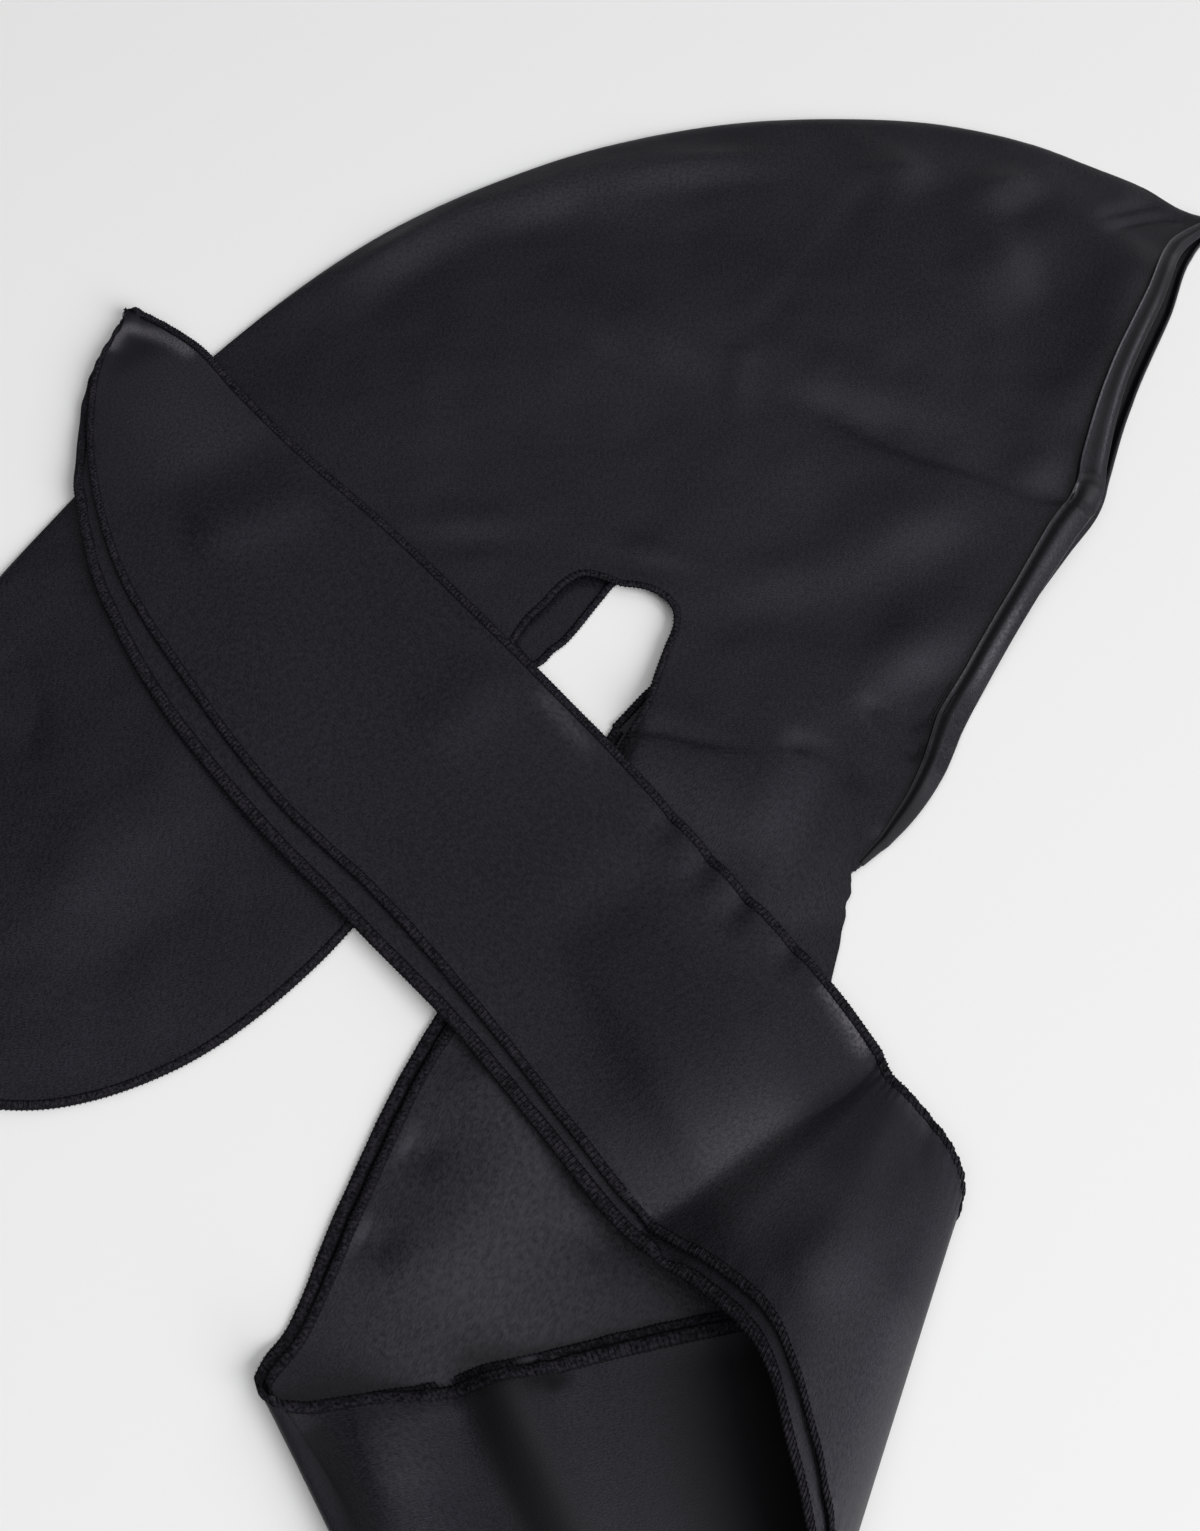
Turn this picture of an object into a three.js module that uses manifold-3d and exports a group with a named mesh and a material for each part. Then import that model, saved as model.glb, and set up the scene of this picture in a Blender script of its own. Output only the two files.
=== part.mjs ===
// A tie-back sleep cap of black satin, folded in half along its crown seam and laid on a flat surface.
//
// Two like halves lie on each other. Each half is one cloth with the crown at its right and the tail at
// its left, an arch cut into the lower edge between tail and tie, a turned hem along the front edge and
// a long tie on the lower front corner. The two ties lie on each other, run down and left, fold over
// upward, run right, fold back in a soft roll and cross everything to their pointed tips.
//
// Frame: millimetres, +X towards the front hem, +Y towards the crown fold, +Z up, floor at Z = 0.

import * as THREE from 'three';
import { mergeVertices } from 'three/addons/utils/BufferGeometryUtils.js';
import Module from 'manifold-3d';

const wasm = await Module();
wasm.setup();

// ---- driving dimensions ----

const WALL = 1.0; // cloth wall
const GAP = 0.3; // clearance between pieces that touch
const LAYER = 1.7; // from the middle of one tie to the middle of the other, where they lie together
const LOWER_LEVEL = 0.5; // middle of the lower half's wall above the floor
const UPPER_LEVEL = 2.0; // middle of the upper half's wall, where it lies flat on the lower one
const BAND_WALL = 1.3; // the hem's cloth, doubled and pressed
const PANEL_STEP = 13; // size of a facet on the upper half
const FLAT_STEP = 500; // the lower half is flat, so one facet covers it
const TIE_STEPS = 3; // stations between two rows of the tie table
const TIE_COLUMNS = 6; // facets across a tie
const FRONT_STATIONS = 30; // stations along the front edge
const ROOT_GAP = 1.5 * GAP; // clearance of the curved root seam, whose facets don't match
const BOW_SCALE = 27 / 4; // makes the highest value of t * t * (1 - t) one
const CUT_HEIGHT = 60; // height of the tool that cuts a half to its outline, more than the cap's
const MERGE = 1e-4; // corners nearer than this are one
const CENTRE = { x: 2.75, y: 8.7 }; // middle of the outline's box on the drawing

// Crown fold, from the front corner over the crown to the end of the tail.
const CROWN_FOLD = [
  { x: 240, y: 241 },
  { x: 226, y: 246 },
  { x: 212, y: 259 },
  { x: 193, y: 271 },
  { x: 170, y: 284 },
  { x: 130, y: 296 },
  { x: 66, y: 297 },
  { x: 20, y: 288 },
  { x: -24, y: 271 },
  { x: -84, y: 233 },
  { x: -141, y: 172 },
  { x: -183, y: 106 },
  { x: -214, y: 50 },
  { x: -234, y: -10 },
];

// Tail end and hem, from the crown fold to the arch.
const TAIL_HEM = [
  { x: -234, y: -10 },
  { x: -232, y: -62 },
  { x: -208, y: -102 },
  { x: -164, y: -114 },
  { x: -123, y: -102 },
  { x: -87, y: -72 },
  { x: -62, y: -36 },
  { x: -29, y: 44 },
];

// Arch over the nape, from the tail to the tie: the upper half, and the lower one that shows inside it.
const UPPER_ARCH = [
  { x: -29, y: 44 },
  { x: -23.5, y: 54 },
  { x: -12.5, y: 67 },
  { x: -4, y: 71.2 },
  { x: 7, y: 67.2 },
  { x: 20, y: 63.2 },
  { x: 24.5, y: 56 },
  { x: 21.5, y: 43 },
  { x: 18, y: 32 },
  { x: 14.5, y: 20 },
  { x: 9, y: 10 },
];
const LOWER_ARCH = [
  { x: -22.5, y: 36.5 },
  { x: -15.5, y: 42.5 },
  { x: -8.3, y: 50.2 },
  { x: 0.5, y: 63.5 },
  { x: 6, y: 70.5 },
  { x: 14, y: 72 },
  { x: 24, y: 68 },
  { x: 30, y: 59 },
  { x: 29, y: 48 },
  { x: 23, y: 34 },
  { x: 16, y: 28.5 },
  { x: 8.5, y: 19.5 },
  { x: 4, y: 14 },
];

// Front edge, from the tie to the front corner, with the kink of a pressed crease in its middle. hem is
// the width of the turned hem, lower how far the lower half's edge lies beyond the upper one's.
const FRONT_EDGE = [
  { x: 77, y: -40, hem: 1, lower: -1 },
  { x: 95, y: -24, hem: 5.5, lower: -2 },
  { x: 108, y: -6, hem: 8, lower: -2 },
  { x: 117.2, y: 13.5, hem: 9.6, lower: -2 },
  { x: 126.5, y: 30, hem: 8.8, lower: -2 },
  { x: 146, y: 62, hem: 9, lower: -1 },
  { x: 160, y: 83, hem: 10.3, lower: 0 },
  { x: 172, y: 101, hem: 10.3, lower: 1 },
  { x: 175.7, y: 116, hem: 9.4, lower: 3 },
  { x: 186, y: 148, hem: 7.6, lower: 5 },
  { x: 207, y: 192, hem: 7, lower: 5 },
  { x: 221, y: 222, hem: 6.4, lower: 4 },
  { x: 240, y: 241, hem: 3.5, lower: 0 },
];

// Swells and dents of the upper half: middle, half length and half width, turn in degrees and height.
const SWELLS = [
  { name: 'crown', x: 92, y: 168, long: 92, wide: 72, turn: 20, high: 11 },
  { name: 'front opening', x: 165, y: 112, long: 88, wide: 40, turn: 62, high: 5.5 },
  { name: 'back of the crown', x: -62, y: 165, long: 60, wide: 38, turn: 42, high: 3 },
  { name: 'tail', x: -165, y: -30, long: 55, wide: 38, turn: 70, high: 2.5 },
  { name: 'pressed crease', x: 125, y: 115, long: 42, wide: 7, turn: 152, high: -1.5 },
];
const SEAM_REACH = 34; // over this distance from the crown fold the swells die out

// The ties, a row for each section across them from root to tip. Edge a runs from the arch, edge b from
// the front. z is the middle between the two ties, slip how far the lower tie lies towards edge b, bow
// how far the section reaches back towards the cap in its middle, rise how far it arches up.
const TIE = [
  { at: 'root seam', ax: 9, ay: 10, az: 1.3, bx: 77, by: -41, bz: 1.3, slip: -6, bow: 26, rise: 0 },
  { at: 'below the root', ax: -12, ay: -30, az: 1.3, bx: 71, by: -66, bz: 1.3, slip: -6, bow: 10, rise: 0 },
  { at: 'first run', ax: -34, ay: -72, az: 1.3, bx: 59, by: -108, bz: 1.3, slip: -6, bow: 0, rise: 0 },
  { at: 'first run', ax: -52, ay: -104, az: 1.3, bx: 51, by: -143, bz: 1.3, slip: -5, bow: 0, rise: 1 },
  { at: 'first run', ax: -68, ay: -144, az: 1.3, bx: 41, by: -187, bz: 1.3, slip: -5, bow: 0, rise: 1 },
  { at: 'left fold, in', ax: -80, ay: -176, az: 1.3, bx: 4, by: -250, bz: 1.6, slip: -4, bow: 0, rise: 0 },
  { at: 'left fold', ax: -88, ay: -191, az: 5, bx: -34, by: -281, bz: 8.5, slip: -4, bow: 0, rise: 0 },
  { at: 'left fold, out', ax: -81, ay: -198, az: 9.2, bx: -19, by: -276, bz: 15, slip: -4, bow: 0, rise: 0 },
  { at: 'second run', ax: -52, ay: -191, az: 6, bx: -2, by: -269, bz: 10, slip: 2, bow: 0, rise: 2 },
  { at: 'second run', ax: -24, ay: -184.5, az: 5.2, bx: 10, by: -268, bz: 4.5, slip: 3, bow: 0, rise: 0 },
  { at: 'second run', ax: 6, ay: -177, az: 5.2, bx: 24, by: -265, bz: 2.5, slip: 3, bow: 0, rise: 2 },
  { at: 'second run', ax: 40, ay: -170, az: 4.8, bx: 36, by: -262, bz: 2.2, slip: 3, bow: 0, rise: 2 },
  { at: 'right roll, in', ax: 75, ay: -164, az: 2.2, bx: 46, by: -259, bz: 2, slip: 2, bow: 0, rise: 0 },
  { at: 'right roll, under', ax: 92, ay: -153, az: 2.2, bx: 52, by: -254, bz: 6, slip: 4, bow: 0, rise: 0 },
  { at: 'right roll, side', ax: 100, ay: -137, az: 6, bx: 55.5, by: -243, bz: 16, slip: 7, bow: 0, rise: 0 },
  { at: 'right roll, top', ax: 97, ay: -127, az: 9.5, bx: 55, by: -228, bz: 25, slip: 9, bow: 0, rise: 0 },
  { at: 'right roll, top', ax: 92, ay: -118, az: 10, bx: 51.5, by: -204, bz: 28, slip: 10, bow: 0, rise: 0 },
  { at: 'behind the roll', ax: 87, ay: -111, az: 9.5, bx: 43.5, by: -178, bz: 25, slip: 7.5, bow: 0, rise: 2 },
  { at: 'behind the roll', ax: 83, ay: -106, az: 8.5, bx: 30, by: -163, bz: 18, slip: 6.8, bow: 0, rise: 2 },
  { at: 'behind the roll', ax: 80, ay: -98.5, az: 7.5, bx: 12, by: -149, bz: 10, slip: 6.2, bow: 0, rise: 0 },
  { at: 'third run', ax: 65.5, ay: -75, az: 7, bx: -8, by: -124, bz: 9, slip: 6.6, bow: 0, rise: 1 },
  { at: 'third run', ax: 38.5, ay: -41, az: 7, bx: -31, by: -93.5, bz: 8, slip: 7.5, bow: 0, rise: 1 },
  { at: 'third run', ax: 2, ay: 5.5, az: 6.5, bx: -66.5, by: -51, bz: 7, slip: 10.5, bow: 0, rise: 0 },
  { at: 'third run', ax: -33, ay: 46, az: 6.5, bx: -99, by: -18.5, bz: 6.5, slip: 9.5, bow: 0, rise: 0 },
  { at: 'third run', ax: -69, ay: 87, az: 6.5, bx: -133, by: 26, bz: 6.5, slip: 11, bow: 0, rise: 0 },
  { at: 'before the tip', ax: -105, ay: 124, az: 6.5, bx: -160, by: 68, bz: 6.5, slip: 9, bow: 0, rise: 0 },
  { at: 'before the tip', ax: -127, ay: 149, az: 6.5, bx: -175, by: 107, bz: 6.5, slip: 7, bow: 0, rise: 0 },
  { at: 'tip', ax: -142, ay: 168, az: 6, bx: -181, by: 137, bz: 5, slip: 4, bow: 0, rise: 0 },
  { at: 'tip', ax: -157, ay: 182, az: 4, bx: -182, by: 164, bz: 3, slip: 2, bow: 0, rise: 0 },
  { at: 'end of the tip', ax: -172, ay: 193, az: 2.4, bx: -175, by: 189, bz: 2.2, slip: 0, bow: 0, rise: 0 },
];

// ---- materials ----

const satin = { color: 0x26242a, roughness: 0.5, metalness: 0 };
const pressedSatin = { color: 0x2e2c33, roughness: 0.38, metalness: 0 };

// ---- curves ----

function smooth(rows, count) {
  const points = rows.map((row) => new THREE.Vector3(row.x, row.y, 0));
  return new THREE.CatmullRomCurve3(points).getPoints(count);
}

// A column of a table, read between its rows.
function between(rows, name, place) {
  const row = place * (rows.length - 1);
  const index = Math.min(Math.floor(row), rows.length - 2);
  return THREE.MathUtils.lerp(rows[index][name], rows[index + 1][name], row - index);
}

const crownLine = smooth(CROWN_FOLD, 90);

function distanceToCrown(x, y) {
  const distances = crownLine.map((point) => Math.hypot(point.x - x, point.y - y));
  return Math.min(...distances);
}

function swell(row, x, y) {
  const turn = THREE.MathUtils.degToRad(row.turn);
  const along = (x - row.x) * Math.cos(turn) + (y - row.y) * Math.sin(turn);
  const across = (y - row.y) * Math.cos(turn) - (x - row.x) * Math.sin(turn);
  return row.high * Math.exp(-((along / row.long) ** 2) - (across / row.wide) ** 2);
}

function upperLevel(x, y) {
  const rise = SWELLS.reduce((sum, row) => sum + swell(row, x, y), 0);
  const fade = Math.sqrt(THREE.MathUtils.clamp(distanceToCrown(x, y) / SEAM_REACH, 0, 1));
  return UPPER_LEVEL + rise * fade;
}

function lowerLevel() {
  return LOWER_LEVEL;
}

// ---- the ties' middle surface ----

const edgeA = new THREE.CatmullRomCurve3(TIE.map((row) => new THREE.Vector3(row.ax, row.ay, row.az)));
const edgeB = new THREE.CatmullRomCurve3(TIE.map((row) => new THREE.Vector3(row.bx, row.by, row.bz)));

function tieMiddle(u, across, slip) {
  const point = edgeA.getPoint(u);
  const ruling = edgeB.getPoint(u).sub(point);
  const back = new THREE.Vector3(-ruling.y, ruling.x, 0).normalize();
  const t = across + (slip * between(TIE, 'slip', u)) / ruling.length();
  point.addScaledVector(ruling, t);
  point.addScaledVector(back, between(TIE, 'bow', u) * BOW_SCALE * t ** 2 * (1 - t));
  point.z += between(TIE, 'rise', u) * 4 * t * (1 - t);
  point.z = Math.max(point.z, (LAYER + WALL) / 2);
  return point;
}

function tieNormal(u, across, slip) {
  const along = 0.002;
  const aside = 0.1;
  const before = tieMiddle(Math.max(u - along, 0), across, slip);
  const after = tieMiddle(Math.min(u + along, 1), across, slip);
  const left = tieMiddle(u, across - aside, slip);
  const right = tieMiddle(u, across + aside, slip);
  return after.sub(before).cross(right.sub(left)).normalize();
}

// ---- solids ----

// Closed skin round a list of sections, each a row of upper points and a row of lower points.
function skin(sections) {
  const width = sections[0].upper.length;
  const ring = 2 * width;
  const positions = [];
  const index = [];
  const quad = (a, b, c, d) => index.push(a, b, c, a, c, d);
  sections.forEach(({ upper, lower }) => {
    [...upper, ...[...lower].reverse()].forEach((point) => positions.push(...point.toArray()));
  });
  for (let s = 0; s < sections.length - 1; s += 1) {
    for (let i = 0; i < ring; i += 1) {
      const j = (i + 1) % ring;
      quad(s * ring + i, (s + 1) * ring + i, (s + 1) * ring + j, s * ring + j);
    }
  }
  const last = (sections.length - 1) * ring;
  for (let i = 0; i < width - 1; i += 1) {
    const under = ring - 1 - i;
    quad(i, i + 1, under - 1, under);
    quad(last + i, last + under, last + under - 1, last + i + 1);
  }
  const geometry = new THREE.BufferGeometry();
  geometry.setAttribute('position', new THREE.Float32BufferAttribute(positions, 3));
  geometry.setIndex(index);
  return geometry;
}

function toManifold(geometry) {
  geometry.deleteAttribute('normal');
  geometry.deleteAttribute('uv');
  const merged = mergeVertices(geometry, MERGE);
  const vertProperties = new Float32Array(merged.attributes.position.array);
  const triVerts = new Uint32Array(merged.index.array);
  return new wasm.Manifold(new wasm.Mesh({ numProp: 3, vertProperties, triVerts }));
}

function fromManifold(solid) {
  const mesh = solid.getMesh();
  const geometry = new THREE.BufferGeometry();
  geometry.setAttribute('position', new THREE.BufferAttribute(mesh.vertProperties, 3));
  geometry.setIndex(new THREE.BufferAttribute(mesh.triVerts, 1));
  return geometry;
}

// One half of the cap: a slab that follows the cloth's level, cut to the outline of the half.
function panelGeometry(outline, level, step) {
  const shape = new THREE.Shape(outline);
  const box = new THREE.Box2().setFromPoints(outline).expandByScalar(step / 2);
  const size = box.getSize(new THREE.Vector2());
  const middle = box.getCenter(new THREE.Vector2());
  const facets = size.clone().divideScalar(step).ceil();
  const slab = new THREE.BoxGeometry(size.x, size.y, WALL, facets.x, facets.y, 1);
  slab.translate(middle.x, middle.y, 0);
  const points = slab.attributes.position;
  for (let i = 0; i < points.count; i += 1) {
    points.setZ(i, points.getZ(i) + level(points.getX(i), points.getY(i)));
  }
  const cutter = new THREE.ExtrudeGeometry(shape, { depth: CUT_HEIGHT, bevelEnabled: false });
  cutter.translate(0, 0, -CUT_HEIGHT / 2);
  return fromManifold(toManifold(slab).intersect(toManifold(cutter)));
}

// The cloth's edge along the root seam, kept clear of the tie's end.
function rootEdge(slip) {
  const points = [];
  for (let c = 0; c <= TIE_COLUMNS; c += 1) {
    const point = tieMiddle(0, c / TIE_COLUMNS, slip);
    const before = tieMiddle(0, (c - 1) / TIE_COLUMNS, slip);
    const next = tieMiddle(0, (c + 1) / TIE_COLUMNS, slip);
    const away = new THREE.Vector2(before.y - next.y, next.x - before.x).normalize();
    points.push(new THREE.Vector2(point.x, point.y).addScaledVector(away, ROOT_GAP));
  }
  return points;
}

function panelOutline(arch, side) {
  const flat = (points) => points.map((point) => new THREE.Vector2(point.x, point.y));
  const crown = flat(smooth(CROWN_FOLD, 40));
  const hem = flat(smooth(TAIL_HEM, 24));
  const archLine = flat(smooth(arch, 20));
  const front = frontLine(side).map((station) => station.inner);
  return [...crown, ...hem.slice(1), ...archLine.slice(1, -1), ...rootEdge(side), ...front.slice(1, -1)];
}

// Stations along the front edge: its outer line, and the line where the turned hem begins.
function frontLine(side) {
  const outer = smooth(FRONT_EDGE, FRONT_STATIONS);
  return outer.map((point, i) => {
    const place = i / FRONT_STATIONS;
    const next = outer[Math.min(i + 1, FRONT_STATIONS)];
    const before = outer[Math.max(i - 1, 0)];
    const inward = new THREE.Vector2(before.y - next.y, next.x - before.x).normalize();
    const edge = new THREE.Vector2(point.x + side * between(FRONT_EDGE, 'lower', place), point.y);
    const inner = edge.clone().addScaledVector(inward, between(FRONT_EDGE, 'hem', place));
    return { edge, inner, inward };
  });
}

function bandGeometry(side, level) {
  const lift = (BAND_WALL - WALL) / 2 + (1 - side) * GAP / 2;
  const stations = frontLine(side).slice(1, -1);
  const sections = stations.map(({ edge, inner, inward }) => {
    const seam = inner.clone().addScaledVector(inward, -GAP);
    const ends = [edge, seam];
    const at = (dz) => ends.map((p) => new THREE.Vector3(p.x, p.y, level(inner.x, inner.y) + lift + dz));
    return { upper: at(BAND_WALL / 2), lower: at(-BAND_WALL / 2) };
  });
  return skin(sections);
}

function tieGeometry(side, slip) {
  const stations = TIE_STEPS * (TIE.length - 1);
  const sections = [];
  for (let s = 0; s <= stations; s += 1) {
    const u = s / stations;
    const upper = [];
    const lower = [];
    for (let c = 0; c <= TIE_COLUMNS; c += 1) {
      const across = c / TIE_COLUMNS;
      const point = tieMiddle(u, across, slip);
      const normal = tieNormal(u, across, slip);
      upper.push(point.clone().addScaledVector(normal, (side * LAYER) / 2 + WALL / 2));
      lower.push(point.clone().addScaledVector(normal, (side * LAYER) / 2 - WALL / 2));
    }
    sections.push({ upper, lower });
  }
  return skin(sections);
}

// ---- the cap ----

function piece(name, geometry, finish) {
  const mesh = new THREE.Mesh(geometry, new THREE.MeshStandardMaterial(finish));
  mesh.name = name;
  return mesh;
}

const cap = new THREE.Group();
cap.add(piece('lower_panel', panelGeometry(panelOutline(LOWER_ARCH, 1), lowerLevel, FLAT_STEP), satin));
cap.add(piece('upper_panel', panelGeometry(panelOutline(UPPER_ARCH, 0), upperLevel, PANEL_STEP), satin));
cap.add(piece('lower_band', bandGeometry(1, lowerLevel), pressedSatin));
cap.add(piece('upper_band', bandGeometry(0, upperLevel), pressedSatin));
cap.add(piece('lower_tie', tieGeometry(-1, 1), satin));
cap.add(piece('upper_tie', tieGeometry(1, 0), satin));
cap.position.set(-CENTRE.x, -CENTRE.y, 0);

export default cap;
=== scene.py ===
"""A tie-back sleep cap of black satin, folded in half at its crown and laid flat, built on its CAD frame.

Lengths are metres. The tables give places on the drawing of the folded cap, seen from above: x towards the
front hem, y towards the crown. DRAWN is where that drawing's origin lies in the frame.
"""

import math

import bpy
import numpy as np
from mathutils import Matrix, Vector, noise
from mathutils.geometry import delaunay_2d_cdt


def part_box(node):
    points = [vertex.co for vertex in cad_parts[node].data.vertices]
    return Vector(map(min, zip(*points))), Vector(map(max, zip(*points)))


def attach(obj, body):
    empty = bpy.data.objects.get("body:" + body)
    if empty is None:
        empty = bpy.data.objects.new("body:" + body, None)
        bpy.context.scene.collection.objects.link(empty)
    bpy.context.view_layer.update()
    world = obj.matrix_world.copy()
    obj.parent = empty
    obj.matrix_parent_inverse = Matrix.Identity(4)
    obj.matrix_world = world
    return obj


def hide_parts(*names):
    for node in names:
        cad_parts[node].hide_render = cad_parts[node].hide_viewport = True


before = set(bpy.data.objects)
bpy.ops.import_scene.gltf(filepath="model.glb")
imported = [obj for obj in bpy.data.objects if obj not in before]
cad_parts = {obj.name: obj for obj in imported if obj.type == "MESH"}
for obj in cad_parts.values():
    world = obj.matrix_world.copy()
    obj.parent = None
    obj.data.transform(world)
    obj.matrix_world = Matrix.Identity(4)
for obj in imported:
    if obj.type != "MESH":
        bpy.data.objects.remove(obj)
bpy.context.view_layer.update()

# ---- Studio --------------------------------------------
# A plain pale table top under large round soft boxes, the strongest low in front on the right.
# The camera looks down at 60 degrees from the side of the ties.

VIEW_TURN = math.radians(30)  # of the camera from straight down
VIEW_DISTANCE = 0.5681
VIEW_CENTRE = Vector((-0.00275, -0.0087, 0))
FLOOR_SIZE = 6.0
LIGHT_DISTANCE = 6.0

scene = bpy.context.scene
scene.view_settings.view_transform = "Standard"

camera = bpy.data.objects.new("camera", bpy.data.cameras.new("camera"))
scene.collection.objects.link(camera)
camera.data.lens = 42
camera.data.sensor_width = 36
camera.location = VIEW_CENTRE + VIEW_DISTANCE * Vector((0, -math.sin(VIEW_TURN), math.cos(VIEW_TURN)))
camera.rotation_euler = (VIEW_TURN, 0, 0)
scene.camera = camera

bpy.ops.object.select_all(action="DESELECT")
bpy.ops.mesh.primitive_plane_add(size=FLOOR_SIZE, location=(0, 0, 0))
floor = bpy.context.object
floor.name = "floor"


def soft_box(name, turn, height, size, watts):
    """A large round light that looks at the cap, turned from the +x side and raised by so many degrees."""
    light = bpy.data.lights.new(name, "AREA")
    light.shape = "DISK"
    light.size = size
    light.energy = watts
    lamp = bpy.data.objects.new(name, light)
    turn, height = math.radians(turn), math.radians(height)
    way = Vector((math.cos(height) * math.cos(turn), math.cos(height) * math.sin(turn), math.sin(height)))
    lamp.location = LIGHT_DISTANCE * way
    lamp.rotation_euler = way.to_track_quat("Z", "Y").to_euler()
    scene.collection.objects.link(lamp)


soft_box("key_box", turn=315, height=27, size=4.4, watts=505)
soft_box("left_box", turn=215, height=62, size=3.2, watts=32)
soft_box("rim_box", turn=45, height=27, size=3.2, watts=29)
soft_box("side_box", turn=10, height=58, size=3.2, watts=36)
soft_box("top_box", turn=270, height=75, size=4.0, watts=54)
soft_box("back_box", turn=90, height=60, size=4.0, watts=20)

world = bpy.data.worlds.new("studio")
scene.world = world
world.use_nodes = True
world.node_tree.nodes["Background"].inputs["Color"].default_value = (1, 1, 1, 1)
world.node_tree.nodes["Background"].inputs["Strength"].default_value = 0.08


class Wire:
    """An output of a finish's node, so that shader maths can be written as an expression."""

    def __init__(self, finish, socket):
        self.finish = finish
        self.socket = socket

    def maths(self, operation, first, second):
        return self.finish.node("ShaderNodeMath", {"operation": operation}, {0: first, 1: second})

    def __add__(self, other):
        return self.maths("ADD", self, other)

    def __radd__(self, other):
        return self.maths("ADD", other, self)

    def __sub__(self, other):
        return self.maths("SUBTRACT", self, other)

    def __rsub__(self, other):
        return self.maths("SUBTRACT", other, self)

    def __mul__(self, other):
        return self.maths("MULTIPLY", self, other)

    def __rmul__(self, other):
        return self.maths("MULTIPLY", other, self)


class Finish:
    """A new material, whose nodes are all added by node()."""

    def __init__(self, name):
        self.material = bpy.data.materials.new(name)
        self.material.use_nodes = True
        self.tree = self.material.node_tree
        self.tree.nodes.clear()

    def node(self, kind, settings=None, sockets=None, output=0):
        """Adds a node with its settings first, then the values or links of its sockets.

        A Mix node's two colours go into its sockets 6 and 7, and come out at 2.
        """
        node = self.tree.nodes.new(kind)
        for name, value in (settings or {}).items():
            setattr(node, name, value)
        for name, value in (sockets or {}).items():
            if isinstance(value, Wire):
                self.tree.links.new(value.socket, node.inputs[name])
            else:
                node.inputs[name].default_value = value
        return Wire(self, node.outputs[output] if node.outputs else None)


def table_top():
    finish = Finish("table_top")
    place = finish.node("ShaderNodeTexCoord", output="Object")
    cloud = finish.node("ShaderNodeTexNoise", None, {"Vector": place, "Scale": 2.0, "Detail": 2.0})
    shader = finish.node(
        "ShaderNodeBsdfPrincipled",
        None,
        {"Base Color": (0.83, 0.83, 0.83, 1), "Roughness": 0.6 + 0.1 * cloud, "Specular IOR Level": 0.2},
    )
    finish.node("ShaderNodeOutputMaterial", None, {"Surface": shader})
    return finish.material


floor.data.materials.append(table_top())

# ---- Upper half ----------------------------------------
# One half of the cap, cut in one cloth from the crown seam to the tail and the arch over the nape. The
# crown swells over the empty hollow for the head, with a pressed crease from the kink in the front hem.

CLOTH = 0.0005  # thickness of the satin
UPPER_LEVEL = 0.0021  # of the middle of the cloth where it lies flat on the lower half
LOWER_LEVEL = 0.0005
LEAST_GAP = 0.001  # between the two halves' middles, however deep a crease is
FOLD_LEVEL = 0.0012  # of the crown fold, where the halves meet
FOLD_RADIUS = 0.006  # over this distance each half rounds into the fold
SEAM_REACH = 0.034  # over this distance from the fold the swells die out
PANEL_STEP = 0.0019  # size of the net's meshes
EDGE_POINTS = 40  # of a smooth line, to each point of its table
FOLD_POINTS = 6  # the same for a fold
ROOT_POINTS = 60
CROWN_STEP = 0.006
RIMS = (0.0006, 0.0016, 0.0032)  # how far in from the edge the net has extra rows of points
TUCK = 0.0012  # by which the half lies under the hem and over the tie's end
ROOT_SLIP = -0.006  # of the lower half's root seam along its line
BOW_PEAK = 27 / 4  # makes t * t * (1 - t) reach 1 at its highest
WALL_ANGLE = math.radians(50)  # edges under this angle are shaded smooth

CROWN_FOLD = [
    (0.240, 0.241), (0.226, 0.246), (0.212, 0.259), (0.193, 0.271), (0.170, 0.284), (0.130, 0.296),
    (0.066, 0.297), (0.020, 0.288), (-0.024, 0.271), (-0.084, 0.233), (-0.141, 0.172), (-0.183, 0.106),
    (-0.214, 0.050), (-0.234, -0.010),
]
TAIL_HEM = [
    (-0.234, -0.010), (-0.232, -0.062), (-0.208, -0.102), (-0.164, -0.114), (-0.123, -0.102),
    (-0.087, -0.072), (-0.062, -0.036), (-0.029, 0.044),
]
UPPER_ARCH = [
    (-0.029, 0.044), (-0.0235, 0.054), (-0.018, 0.060), (-0.0125, 0.067), (-0.006, 0.0715), (0.001, 0.0700),
    (0.007, 0.0672), (0.0135, 0.0662), (0.0200, 0.0632), (0.0243, 0.0580), (0.0245, 0.0515), (0.0215, 0.0430),
    (0.0180, 0.0320), (0.0145, 0.0200), (0.009, 0.010),
]
# Front edge from the tie to the front corner: x, y, width of the turned hem, and how far the lower half's
# edge lies beyond the upper one's.
FRONT_EDGE = [
    (0.077, -0.040, 0.001, -0.001), (0.095, -0.024, 0.0055, -0.002), (0.108, -0.006, 0.008, -0.002),
    (0.1172, 0.0135, 0.0096, -0.002), (0.1265, 0.030, 0.0088, -0.002), (0.146, 0.062, 0.0090, -0.001),
    (0.160, 0.083, 0.0103, 0.000), (0.172, 0.101, 0.0103, 0.001), (0.1757, 0.116, 0.0094, 0.003),
    (0.186, 0.148, 0.0076, 0.005), (0.207, 0.192, 0.0070, 0.005), (0.221, 0.222, 0.0064, 0.004),
    (0.240, 0.241, 0.0035, 0.000),
]
FRONT_POINTS = 181  # on the line through them
# Root seam, from the arch to the front edge: its two ends, and how far it bows back into the cap.
ROOT_SEAM = ((0.009, 0.010), (0.077, -0.041), 0.026)

# Slight uneven lie of the cloth: height, size, and where in the noise it is taken.
UNREST = [(0.0009, 0.040, 3), (0.0003, 0.014, 8)]
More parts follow.
